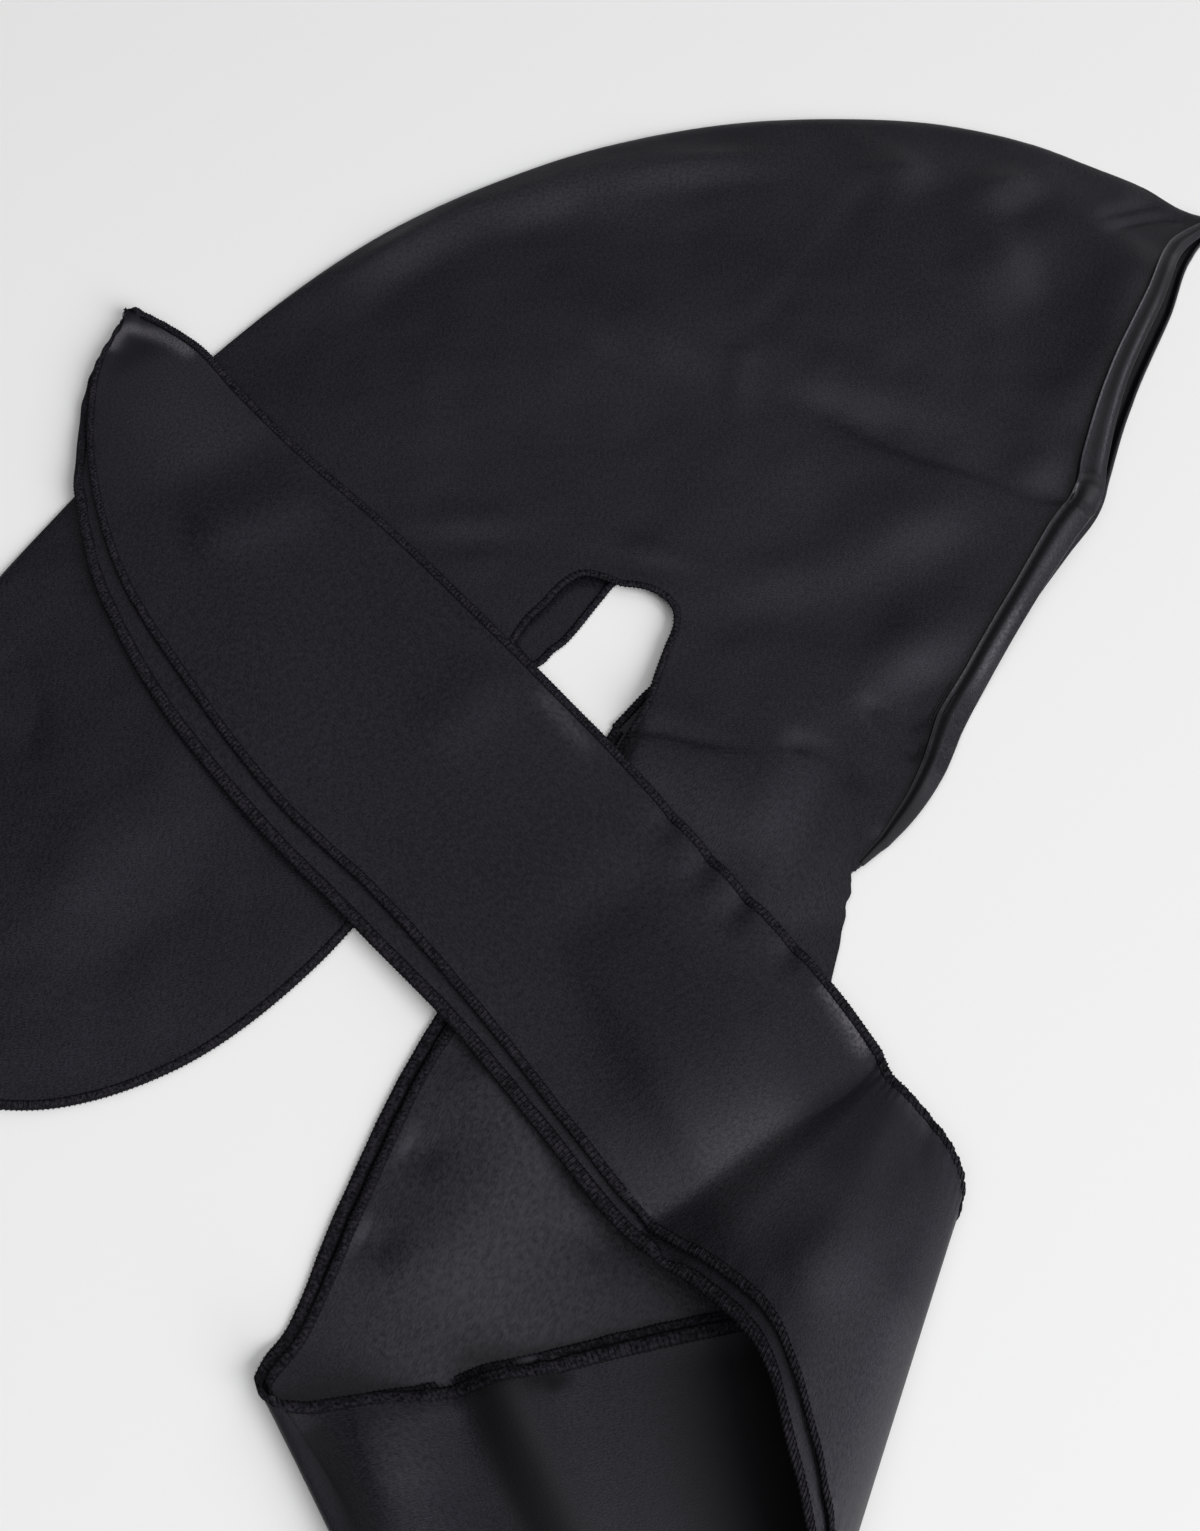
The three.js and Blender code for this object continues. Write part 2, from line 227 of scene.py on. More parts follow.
# Swells of the crown and the tail: x, y, half length, half width, turn in degrees, height.
SWELLS = [
    (0.085, 0.185, 0.125, 0.100, 20, 0.0090),
    (0.175, 0.125, 0.088, 0.040, 62, 0.0045),
    (-0.062, 0.165, 0.060, 0.038, 42, 0.0024),
    (-0.165, -0.030, 0.055, 0.038, 70, 0.0022),
]
# Soft waves, high on the left of their length and low on its right: columns as for the swells.
WAVES = [
    (-0.020, 0.247, 0.028, 0.010, 15, 0.0016),
    (0.038, 0.262, 0.030, 0.008, 4, 0.0016),
    (-0.072, 0.220, 0.026, 0.011, 38, 0.0020),
    (0.122, 0.257, 0.014, 0.010, 55, 0.0014),
    (0.160, 0.250, 0.014, 0.008, 30, 0.0016),
    (0.157, 0.205, 0.020, 0.012, 62, 0.0020),
    (0.099, 0.141, 0.028, 0.008, -24, 0.0018),
    (0.154, 0.110, 0.010, 0.007, 40, 0.0010),
    (0.108, 0.084, 0.024, 0.011, 25, 0.0018),
    (0.060, 0.064, 0.026, 0.009, 10, 0.0011),
    (0.103, 0.034, 0.020, 0.009, 32, 0.0022),
    (0.014, 0.170, 0.028, 0.008, -38, 0.0013),
    (-0.044, 0.090, 0.018, 0.005, -5, 0.0007),
    (0.018, 0.077, 0.014, 0.004, -20, 0.0007),
    (-0.144, -0.038, 0.036, 0.014, 54, 0.0010),
]

# Painted sheen: where the satin is painted paler to stand for its highlights. Columns as for the swells, with
# a share instead of a height.
UPPER_SHEEN = [
    (0.010, 0.255, 0.070, 0.026, 8, 0.120),
    (-0.075, 0.215, 0.050, 0.030, 42, 0.050),
    (0.150, 0.262, 0.040, 0.016, -20, 0.040),
    (0.022, 0.165, 0.034, 0.024, 30, 0.060),
    (0.032, -0.018, 0.036, 0.014, -36, 0.030),
]

# Ridges and creases: height, width of the left and of the right flank along the points, share of the
# length over which each end dies out, and the points.
UPPER_FOLDS = [
    # pressed crease from the hem's kink
    (-0.0013, 0.0022, 0.007, 0.02, 0.40,
     [(0.162, 0.100), (0.146, 0.103), (0.130, 0.112), (0.110, 0.121), (0.090, 0.134)]),
    (-0.0018, 0.0045, 0.008, 0.40, 0.35,
     [(0.122, 0.115), (0.106, 0.123), (0.090, 0.134), (0.078, 0.142), (0.064, 0.149)]),
    # ridge beside the upper hem
    (0.0030, 0.012, 0.014, 0.25, 0.15,
     [(0.158, 0.130), (0.169, 0.143), (0.180, 0.160), (0.190, 0.180), (0.199, 0.202), (0.214, 0.224)]),
    # puckers at the front corner
    (-0.0013, 0.0022, 0.0040, 0.10, 0.35, [(0.230, 0.241), (0.216, 0.240), (0.202, 0.235), (0.189, 0.226)]),
    (-0.0011, 0.0022, 0.0040, 0.10, 0.35, [(0.229, 0.246), (0.216, 0.248), (0.199, 0.242), (0.186, 0.235)]),
    # crease down the crown, and the pinch where it ends
    (-0.0005, 0.008, 0.006, 0.20, 0.20,
     [(0.110, 0.264), (0.102, 0.248), (0.085, 0.220), (0.066, 0.190), (0.052, 0.166)]),
    (0.0009, 0.005, 0.006, 0.15, 0.50, [(0.053, 0.170), (0.050, 0.158), (0.049, 0.145), (0.047, 0.126)]),
    # creases beside the lower hem
    (-0.0020, 0.004, 0.004, 0.30, 0.20, [(0.082, 0.026), (0.090, 0.0165), (0.096, 0.008), (0.104, 0.001)]),
    (-0.0012, 0.003, 0.003, 0.40, 0.05, [(0.095, 0.011), (0.103, 0.017), (0.113, 0.024)]),
    (-0.0010, 0.002, 0.002, 0.40, 0.10, [(0.083, -0.027), (0.088, -0.027), (0.093, -0.025)]),
    # soft crease in the tail
    (-0.0012, 0.006, 0.006, 0.25, 0.25,
     [(-0.198, 0.044), (-0.191, 0.030), (-0.183, 0.012), (-0.180, -0.004)]),
]
# Swell and creases along the root seam, in the half and in the tie's end alike.
ROOT_FOLDS = [
    (0.0040, 0.024, 0.017, 0.12, 0.30,
     [(0.004, 0.004), (0.020, -0.001), (0.036, -0.008), (0.052, -0.015), (0.068, -0.022)]),
    (-0.0012, 0.0050, 0.0020, 0.03, 0.45, [(0.009, 0.0095), (0.022, 0.008), (0.035, 0.0047), (0.056, 0.002)]),
    (-0.0020, 0.0045, 0.0032, 0.30, 0.40,
     [(0.056, 0.008), (0.0625, 0.0062), (0.0686, 0.004), (0.0763, -0.004), (0.081, -0.014)]),
]


def curve(points, places):
    """Points of one smooth line through the given points, at places from 0 to 1 along the list."""
    points = np.asarray(points, float)
    padded = np.vstack([2 * points[0] - points[1], points, 2 * points[-1] - points[-2]])
    place = np.asarray(places) * (len(points) - 1)
    start = np.clip(place.astype(int), 0, len(points) - 2)
    t = (place - start)[:, None]
    a, b, c, d = (padded[start + k] for k in range(4))
    ab, bc, cd = (np.sqrt(np.linalg.norm(q - p, axis=1))[:, None] for p, q in ((a, b), (b, c), (c, d)))
    leave = ((b - a) / ab - (c - a) / (ab + bc) + (c - b) / bc) * bc
    arrive = ((c - b) / bc - (d - b) / (bc + cd) + (d - c) / cd) * bc
    return b + leave * t + (3 * (c - b) - 2 * leave - arrive) * t**2 + (2 * (b - c) + leave + arrive) * t**3


def evenly(line, step, axes=2):
    """The same line with its points about one step apart, measured in its first two or three columns."""
    run = np.concatenate([[0], np.cumsum(np.linalg.norm(np.diff(line[:, :axes], axis=0), axis=1))])
    marks = np.linspace(0, run[-1], max(2, round(run[-1] / step) + 1))
    return np.column_stack([np.interp(marks, run, line[:, k]) for k in range(line.shape[1])])


def smooth_line(points, step):
    return evenly(curve(points, np.linspace(0, 1, EDGE_POINTS * len(points))), step)


def unit(vectors):
    return vectors / np.linalg.norm(vectors, axis=-1)[..., None]


def left_of(line):
    """The direction to the left of a line drawn in the plane, at each of its points."""
    along = unit(np.gradient(line[:, :2], axis=0))
    return np.column_stack([-along[:, 1], along[:, 0]])


def ease(share):
    share = np.clip(share, 0, 1)
    return share * share * (3 - 2 * share)


def nearest_on(line, spots):
    """For each spot: its distance to the line, which side it is on, and how far along it lies (0 to 1)."""
    start, run = line[:-1], np.diff(line, axis=0)
    offset = spots[:, None] - start[None]
    share = np.clip((offset * run).sum(2) / (run * run).sum(1), 0, 1)
    gap = offset - share[..., None] * run
    distance = np.sqrt((gap * gap).sum(2))
    best = distance.argmin(1)
    pick = np.arange(len(spots)), best
    side = run[best, 0] * gap[pick][:, 1] - run[best, 1] * gap[pick][:, 0]
    return distance[pick], side, (best + share[pick]) / len(run)


def turned(spots, x, y, turn):
    """How far each spot lies from (x, y) along the line turned by so many degrees, and across it."""
    c, s = math.cos(math.radians(turn)), math.sin(math.radians(turn))
    dx, dy = spots[:, 0] - x, spots[:, 1] - y
    return dx * c + dy * s, dy * c - dx * s


def swell(spots, rows):
    height = np.zeros(len(spots))
    for x, y, long, wide, turn, high in rows:
        along, across = turned(spots, x, y, turn)
        height += high * np.exp(-((along / long) ** 2) - (across / wide) ** 2)
    return height


def waved(spots, rows):
    height = np.zeros(len(spots))
    for x, y, long, wide, turn, high in rows:
        along, across = turned(spots, x, y, turn)
        along, across = along / long, across / wide
        height += high * across * np.exp(0.5 - along**2 - across**2 / 2)
    return height


def folded(spots, rows):
    height = np.zeros(len(spots))
    for high, left, right, first, last, points in rows:
        line = curve(points, np.linspace(0, 1, FOLD_POINTS * len(points)))
        distance, side, along = nearest_on(line, spots)
        width = np.where(side > 0, left, right)
        ends = ease(along / first) * ease((1 - along) / last)
        height += high * np.exp(-((distance / width) ** 2)) * ends
    return height


def creased(spots, rows):
    """Sharp valleys whose sides are steepest along the line; rows as for the folds."""
    height = np.zeros(len(spots))
    for high, left, right, first, last, points in rows:
        line = curve(points, np.linspace(0, 1, FOLD_POINTS * len(points)))
        distance, side, along = nearest_on(line, spots)
        width = np.where(side > 0, left, right)
        height += high * np.exp(-distance / width) * ease(along / first) * ease((1 - along) / last)
    return height


def unrest(spots, high, size, seed):
    return high * np.array([noise.noise((x / size, y / size, seed)) for x, y in spots])


def round_to_fold(spots, level):
    """The level with the half rounded down, or up, to the crown fold."""
    distance, _, _ = nearest_on(crown_line, spots)
    share = np.clip(distance / FOLD_RADIUS, 0, 1)
    return FOLD_LEVEL + (level - FOLD_LEVEL) * np.sqrt(1 - (1 - share) ** 2)


def upper_level(spots):
    distance, _, _ = nearest_on(crown_line, spots)
    rise = swell(spots, SWELLS) * np.sqrt(np.clip(distance / SEAM_REACH, 0, 1))
    rise += (folded(spots, UPPER_FOLDS) + waved(spots, WAVES)) * ease(distance / SEAM_REACH * 3)
    rise += sum((unrest(spots, *row) for row in UNREST), folded(spots, ROOT_FOLDS))
    return round_to_fold(spots, np.maximum(UPPER_LEVEL + rise, LOWER_LEVEL + LEAST_GAP))


def root_seam(slip, beyond):
    """Line along the root seam, from the arch to the front, a distance beyond it towards the tie."""
    (ax, ay), (bx, by), bow = ROOT_SEAM
    t = np.linspace(0, 1, ROOT_POINTS)[:, None]
    a, ruling = np.array([ax, ay]), np.array([bx - ax, by - ay])
    back = np.array([-ruling[1], ruling[0]]) / np.linalg.norm(ruling)
    t = t + slip / np.linalg.norm(ruling)
    line = a + ruling * t + back * bow * BOW_PEAK * t**2 * (1 - t)
    return evenly(line - left_of(line) * beyond, PANEL_STEP)


def front_lines(side):
    """A half's front edge: its outer line, the hem's inner line, and the way in from one to the other.

    side is 0 for the upper half and 1 for the lower one, here and where halves and hems are made.
    """
    share = np.linspace(0, 1, FRONT_POINTS)
    rows = curve([(x, y) for x, y, _, _ in FRONT_EDGE], share)
    place = share * (len(FRONT_EDGE) - 1)
    table = np.array(FRONT_EDGE)
    hem, beyond = (np.interp(place, np.arange(len(table)), table[:, k]) for k in (2, 3))
    way = left_of(rows)
    edge = rows + np.column_stack([side * beyond, np.zeros(len(rows))])
    return edge, edge + way * hem[:, None], way


def inside(spots, outline):
    x, y = spots[:, 0][:, None], spots[:, 1][:, None]
    x0, y0 = outline[:, 0], outline[:, 1]
    x1, y1 = np.roll(x0, -1), np.roll(y0, -1)
    crosses = (y0 > y) != (y1 > y)
    with np.errstate(divide="ignore", invalid="ignore"):
        reach = (x1 - x0) * (y - y0) / (y1 - y0) + x0
    return (crosses & (x < reach)).sum(1) % 2 == 1


def half_outline(arch, side):
    """The half's edge, anticlockwise from the front corner: crown fold, tail hem, arch, root seam, front."""
    _, seam, way = front_lines(side)
    front = evenly(seam - way * TUCK, PANEL_STEP)
    lines = [
        smooth_line(CROWN_FOLD, PANEL_STEP),
        smooth_line(TAIL_HEM, PANEL_STEP),
        smooth_line(arch, PANEL_STEP),
        root_seam(ROOT_SLIP * side, TUCK),
        front[1:],
    ]
    return np.vstack([line[:-1] for line in lines])


def cloth_net(outline, step, rims):
    """Points and triangles of a cloth with that outline, with extra rows of points along its edge.

    Every other row of the net is set over by half a mesh, and the net keeps clear of the extra rows.
    """
    edge = left_of(np.vstack([outline[-1], outline, outline[0]]))[1:-1]
    low, high = outline.min(0), outline.max(0)
    grid = np.stack(np.meshgrid(*(np.arange(low[k], high[k], step) for k in (0, 1))), -1).reshape(-1, 2)
    grid[:, 0] += np.where(np.round((grid[:, 1] - low[1]) / step) % 2 == 1, step / 2, 0)
    rows = [outline + edge * rim for rim in rims]
    closed = np.vstack([outline, outline[:1]])
    reach = 0.6 * step
    kept = [outline]
    for row, rim in zip(rows, rims):
        distance, _, _ = nearest_on(closed, row)
        kept.append(row[inside(row, outline) & (distance > 0.9 * rim)])
    grid = grid[inside(grid, outline)]
    distance, _, _ = nearest_on(closed, grid)
    kept.append(grid[distance > max(rims) + reach])
    spots = np.vstack(kept)
    border = [(k, (k + 1) % len(outline)) for k in range(len(outline))]
    whole = [list(range(len(outline)))]
    only_inside, join_under = 1, 1e-7
    spots, _, faces, *_ = delaunay_2d_cdt([Vector(p) for p in spots], border, whole, only_inside, join_under)
    return np.array([tuple(p) for p in spots]), [tuple(face) for face in faces]


def new_piece(name, points, faces, chart, finish, painted_sheen_and_shade=None):
    """A smooth mesh piece. chart is where each point lies on the flat cloth; painted_sheen_and_shade is how
    much painted sheen (above nought) or painted shade (below nought) it has there.
    """
    mesh = bpy.data.meshes.new(name)
    mesh.from_pydata([tuple(p) for p in points], [], faces)
    layer = mesh.uv_layers.new(name="cloth")
    corners = np.empty(len(mesh.loops), int)
    mesh.loops.foreach_get("vertex_index", corners)
    layer.data.foreach_set("uv", np.asarray(chart, float)[corners].ravel())
    if painted_sheen_and_shade is not None:
        mesh.attributes.new("painted_sheen_and_shade", "FLOAT", "POINT").data.foreach_set("value", np.clip(painted_sheen_and_shade, -1, 1))
    mesh.polygons.foreach_set("use_smooth", [True] * len(mesh.polygons))
    mesh.materials.append(finish)
    mesh.update()
    piece = bpy.data.objects.new(name, mesh)
    scene.collection.objects.link(piece)
    return piece


def give_thickness(piece, thickness):
    """Makes a wall of the sheet, half to each side."""
    bpy.ops.object.select_all(action="DESELECT")
    piece.select_set(True)
    bpy.context.view_layer.objects.active = piece
    wall = piece.modifiers.new("wall", "SOLIDIFY")
    wall.thickness = thickness
    wall.offset = 0
    bpy.ops.object.modifier_apply(modifier=wall.name)
    bpy.ops.object.shade_smooth_by_angle(angle=WALL_ANGLE)


FLOATS = (1300, 2000, 1)  # of the satin's face to a metre, along the cloth and across it
SLUBS = (900, 450, 1)  # thicker yarns, in the same way
SHEEN_PAINT = (0.12, 0.115, 0.13, 1)  # painted sheen, mixed into the satin where it stands for a highlight
# painted shade, mixed into the satin where it stands for the shade deep in a fold
SHADE_PAINT = (0, 0, 0, 1)


def satin(name, dark, light, roughness, shine):
    """Warp-faced satin: long fine floats that catch the light unevenly, in a faintly cloudy black."""
    finish = Finish(name)
    chart = finish.node("ShaderNodeUVMap", {"uv_map": "cloth"})
    floats = finish.node("ShaderNodeVectorMath", {"operation": "MULTIPLY"}, {0: chart, 1: FLOATS})
    slubs = finish.node("ShaderNodeVectorMath", {"operation": "MULTIPLY"}, {0: chart, 1: SLUBS})
    grain = finish.node("ShaderNodeTexNoise", None, {"Vector": floats, "Scale": 1.0, "Detail": 1.0})
    cross = finish.node("ShaderNodeTexNoise", None, {"Vector": slubs, "Scale": 1.0, "Detail": 1.0})
    cloud = finish.node("ShaderNodeTexNoise", None, {"Vector": chart, "Scale": 28.0, "Detail": 3.0})
    weave = 0.65 * grain + 0.35 * cross
    tone = finish.node(
        "ShaderNodeMapRange",
        None,
        {"Value": 0.85 * weave + 0.15 * cloud, "From Min": 0.38, "From Max": 0.62},
    )
    colour = finish.node("ShaderNodeMix", {"data_type": "RGBA"}, {0: tone, 6: (*dark, 1), 7: (*light, 1)}, 2)
    fleck = finish.node("ShaderNodeTexNoise", None, {"Vector": chart, "Scale": 750.0, "Detail": 2.0})
    fleck = finish.node(
        "ShaderNodeMapRange",
        None,
        {"Value": fleck, "From Min": 0.36, "From Max": 0.62, "To Min": 0.35, "To Max": 1.1},
    )
    # Painted sheen and shade: above nought the attribute paints the satin paler, in flecks, to stand for a
    # highlight; below nought it paints it black and rougher, to stand for the shade deep in a fold.
    painted_mark = finish.node("ShaderNodeAttribute", {"attribute_name": "painted_sheen_and_shade"}, output="Fac")
    sheen_flecks = finish.node("ShaderNodeMath", {"operation": "MULTIPLY", "use_clamp": True}, {0: painted_mark, 1: fleck})
    deep = finish.node("ShaderNodeMath", {"operation": "MULTIPLY", "use_clamp": True}, {0: painted_mark, 1: -1.0})
    colour = finish.node("ShaderNodeMix", {"data_type": "RGBA"}, {0: sheen_flecks, 6: colour, 7: SHEEN_PAINT}, 2)
    colour = finish.node("ShaderNodeMix", {"data_type": "RGBA"}, {0: deep, 6: colour, 7: SHADE_PAINT}, 2)
    bump = finish.node("ShaderNodeBump", None, {"Height": weave, "Strength": 1.0, "Distance": 0.00014})
    shader = finish.node(
        "ShaderNodeBsdfPrincipled",
        None,
        {
            "Base Color": colour,
            "Roughness": roughness + 0.30 * (weave - 0.5) + 0.5 * deep,
            "Specular IOR Level": shine,
            "Specular Tint": (0.93, 0.92, 1.0, 1),
            "Normal": bump,
        },
    )
    finish.node("ShaderNodeOutputMaterial", None, {"Surface": shader})
    return finish.material


crown_line = smooth_line(CROWN_FOLD, CROWN_STEP)
satin_finish = satin(
    "satin", dark=(0.001, 0.0008, 0.0025), light=(0.0110, 0.0100, 0.0150), roughness=0.48, shine=0.35
)

outline = half_outline(UPPER_ARCH, 0)
drawn = (outline.min(0) + outline.max(0)) / 2
packed = (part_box("upper_panel")[0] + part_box("upper_panel")[1]) / 2
DRAWN = np.array([packed.x - drawn[0], packed.y - drawn[1], 0])


def make_half(name, node, arch, side, level, step):
    spots, faces = cloth_net(half_outline(arch, side), step, RIMS)
    points = np.column_stack([spots, level(spots)]) + DRAWN
    # painted sheen on the upper half only
    half = new_piece(name, points, faces, spots, satin_finish, swell(spots, UPPER_SHEEN) * (side == 0))
    give_thickness(half, CLOTH)
    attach(half, "root")
    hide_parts(node)
    return half


upper_half = make_half("upper_half", "upper_panel", UPPER_ARCH, 0, upper_level, PANEL_STEP)

# ---- Lower half ----------------------------------------
# The same cloth again, flat on the table. It shows in the arch, where it lies a little lower, and as a
# dark line beyond the front hem.

LOWER_ARCH = [
    (-0.029, 0.044), (-0.0225, 0.0365), (-0.0185, 0.0385), (-0.0155, 0.0425), (-0.0120, 0.0455),
    (-0.0083, 0.0502), (-0.0043, 0.0562), (0.0005, 0.0635), (0.0060, 0.0705), (0.0140, 0.0720),
    (0.0240, 0.0680), (0.0300, 0.0590), (0.0290, 0.0480), (0.0230, 0.0340), (0.0160, 0.0285),
    (0.0085, 0.0195), (0.004, 0.014),
]
LOWER_STEP = 0.004


def lower_level(spots):
    return round_to_fold(spots, np.full(len(spots), LOWER_LEVEL))


lower_half = make_half("lower_half", "lower_panel", LOWER_ARCH, 1, lower_level, LOWER_STEP)

# ---- Front hems ----------------------------------------
# The front edge of each half is turned under, pressed and topstitched, so it is a flat band with a raised
# lip along the stitching and a rounded fold along the edge.

# Profile across the hem: share of its width from the edge, and height over the cloth's middle below the
# kink, above it, and in the lower half's hem above it.
HEM_PROFILE = [
    (0.00, -0.0005, -0.0005, -0.0003), (0.00, 0.0000, 0.0001, 0.0012), (0.03, 0.0003, 0.0003, 0.0018),
    (0.10, 0.0006, 0.0005, 0.0020), (0.18, 0.0009, 0.0008, 0.0016), (0.26, 0.0013, 0.0012, 0.0008),
    (0.34, 0.0017, 0.0016, 0.0003), (0.42, 0.0021, 0.0017, 0.0002), (0.50, 0.0024, 0.0016, 0.0002),
    (0.58, 0.0025, 0.0015, 0.0002), (0.68, 0.0020, 0.0014, 0.0002), (0.78, 0.0014, 0.0014, 0.0002),
    (0.86, 0.0010, 0.0016, 0.0002), (0.91, 0.0012, 0.0020, 0.0002), (0.95, 0.0016, 0.0024, 0.0002),
    (0.98, 0.0018, 0.0025, 0.0002), (1.00, 0.0015, 0.0020, 0.0002), (1.03, 0.0003, 0.0003, 0.0001),
    (1.03, -0.0004, -0.0004, -0.0003), (0.50, -0.0005, -0.0005, -0.0004), (0.05, -0.0005, -0.0005, -0.0004),
]
KINK = 0.104  # y of the hem's kink, where the hem turns from one profile to the other
KINK_LENGTH = 0.008
# Folds across the hem at the kink: y, height, half width.
KINK_FOLDS = [(0.108, 0.0007, 0.0022), (0.1035, 0.0005, 0.0014), (0.098, -0.0008, 0.0035)]
# Strips of the hem painted paler to stand for its highlights, or below nought painted darker as shade: y and
# half length, place across the hem and half width as shares of its width, and strength.
HEM_SHEEN_AND_SHADE = [
    (0.072, 0.030, 0.36, 0.13, 0.18),
    (0.041, 0.014, 0.38, 0.12, 0.40),
    (-0.028, 0.018, 0.50, 0.80, -0.80),
    (0.102, 0.007, 0.40, 0.40, -0.60),
    (0.040, 0.060, 0.72, 0.13, -0.45),
    (0.170, 0.058, 0.58, 0.22, -0.45),
    (0.165, 0.050, 0.06, 0.08, -0.60),
    (0.170, 0.055, 0.93, 0.045, 0.90),
    (0.150, 0.042, 0.24, 0.07, 0.50),
    (0.055, 0.042, 0.94, 0.035, 0.40),
]
HEM_STEP = 0.0009
HEM_RUN = slice(3, -2)  # of the front edge: the hem stops just short of the tie and of the corner
HEM_ROW = 0.001  # of the flat cloth from one row of the profile to the next
HEM_FULL = 0.0075  # from this width on the hem is as thick as its profile

pressed_finish = satin(
    "pressed_satin", dark=(0.0005, 0.0004, 0.002), light=(0.0115, 0.011, 0.0150), roughness=0.43, shine=0.44
)


def swept(rings):
    """Faces of a skin over rings of points that follow each other, closed at both ends."""
    count, size = len(rings), len(rings[0])
    faces = []
    for r in range(count - 1):
        for k in range(size):
            n = (k + 1) % size
            faces.append((r * size + k, r * size + n, (r + 1) * size + n, (r + 1) * size + k))
    faces.append(tuple(reversed(range(size))))
    faces.append(tuple((count - 1) * size + k for k in range(size)))
    return faces


def make_hem(name, node, side, level):
    edge, seam, _ = front_lines(side)
    both = evenly(np.column_stack([edge, seam])[HEM_RUN], HEM_STEP)
    edge, seam = both[:, :2], both[:, 2:]
    middle = edge[:, 1]
    above = ease((middle - KINK) / KINK_LENGTH + 0.5)
    height = level(seam)
    full = np.minimum(1, np.linalg.norm(seam - edge, axis=1) / HEM_FULL)
    pucker = sum(high * np.exp(-(((middle - y) / wide) ** 2)) for y, high, wide in KINK_FOLDS) * (1 - side)
    rings, painted_sheen_and_shade = [], []
    for share, low, high, under in HEM_PROFILE:
        rise = low + ((under if side else high) - low) * above
        rise = rise * np.where(rise > 0, full, 1)
        spots = edge + (seam - edge) * share
        top = (rise > 0) * min(1, 4 * share) * min(1, 6 * max(1 - share, 0))  # none at the hem's two edges
        rings.append(np.column_stack([spots, height + rise + pucker * top]))
        # painted sheen and shade on the top face of the upper hem
        strips_painted = [
            strength * np.exp(-(((middle - y) / long) ** 4)) * math.exp(-(((share - across) / wide) ** 2))
            for y, long, across, wide, strength in HEM_SHEEN_AND_SHADE
        ]
        face_up = low > -0.0002
        painted_sheen_and_shade.append(sum(strips_painted) * (1 - side) * face_up)
    rings = np.stack(rings, 1)
    run = np.concatenate([[0], np.cumsum(np.linalg.norm(np.diff(seam, axis=0), axis=1))])
    chart = np.stack([np.column_stack([run, run * 0 + k * HEM_ROW]) for k in range(len(HEM_PROFILE))], 1)
    painted_sheen_and_shade = np.stack(painted_sheen_and_shade, 1).ravel()
    points = rings.reshape(-1, 3) + DRAWN
    hem = new_piece(name, points, swept(rings), chart.reshape(-1, 2), pressed_finish, painted_sheen_and_shade)
    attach(hem, "root")
    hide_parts(node)
    return hem


upper_hem = make_hem("upper_hem", "upper_band", side=0, level=upper_level)
lower_hem = make_hem("lower_hem", "lower_band", side=1, level=lower_level)

# ---- Ties ----------------------------------------------
# Two long flat ties, one on each half's lower front corner, cut with curved tips. They lie on each other,
# fold over upward at the left, turn back in a soft roll at the right and cross the cap to their tips.

LAYER = 0.0017  # from the middle of one tie to the middle of the other
TIE_STEP = 0.0020
ROOT_REACH = 2  # rows of the table over which the tie leaves the half it is sewn to
JOIN_STEP = 0.00006  # by which its end lies over the half's edge
TIE_WIDTH = 0.09
TIE_LENGTH = 0.87
EDGE_CROWDING = 0.4  # how much closer together the columns lie along the edges
FLOOR_GAP = 0.0001  # least gap between the floor and a tie or its overlock
RUFFLE = 0.00022  # height of the waves along the overlocked edges
RUFFLE_REACH = 0.004  # into the cloth
RUFFLE_WAVE = 0.0021  # length of a wave over 2 pi
RUFFLE_DRIFT = 0.017  # the same for the drift that makes the waves uneven
UNEVEN = 3  # strength of the drift
APART = 2  # by how much the waves of the two edges are out of step

